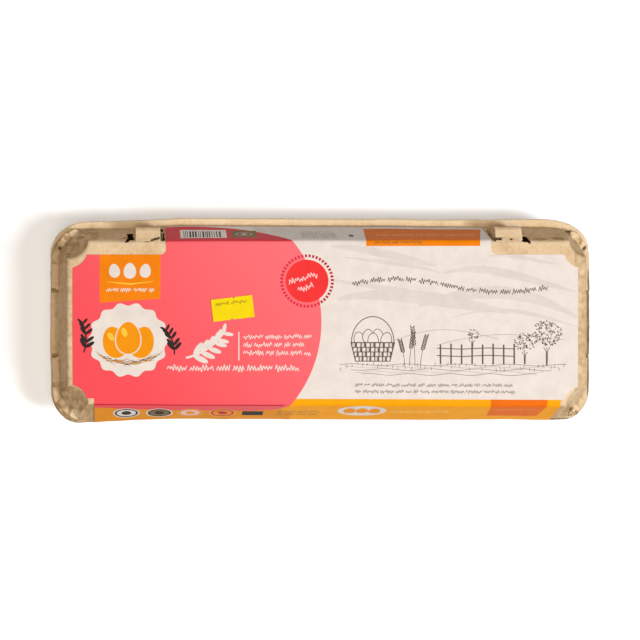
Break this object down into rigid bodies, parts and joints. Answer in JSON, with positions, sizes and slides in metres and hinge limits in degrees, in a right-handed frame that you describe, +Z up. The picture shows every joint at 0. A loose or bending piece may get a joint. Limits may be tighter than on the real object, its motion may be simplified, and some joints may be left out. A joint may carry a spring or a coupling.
{
  "type": "egg carton with eggs",
  "caption": "Long shut carton of moulded pulp for eggs, with tapered cups below, lock tabs through the lid and a paper label wrapped over the top.",
  "frame": {"origin": "under the middle of the whole carton, on the surface that its feet stand on", "axes": "+X along the carton, +Y towards the side with the lock tabs, +Z up"},
  "size_m": [0.3, 0.112, 0.0712],
  "materials": {
    "tray_pulp": "matte moulded pulp",
    "lid_pulp": "matte moulded pulp",
    "label_paper": "printed satin paper",
    "sticker_paper": "printed matte paper"
  },
  "bodies": {
    "root": {"tray": "tray_pulp", "lid": "lid_pulp", "label": "label_paper", "price_sticker": "sticker_paper"}
  },
  "joints": []
}
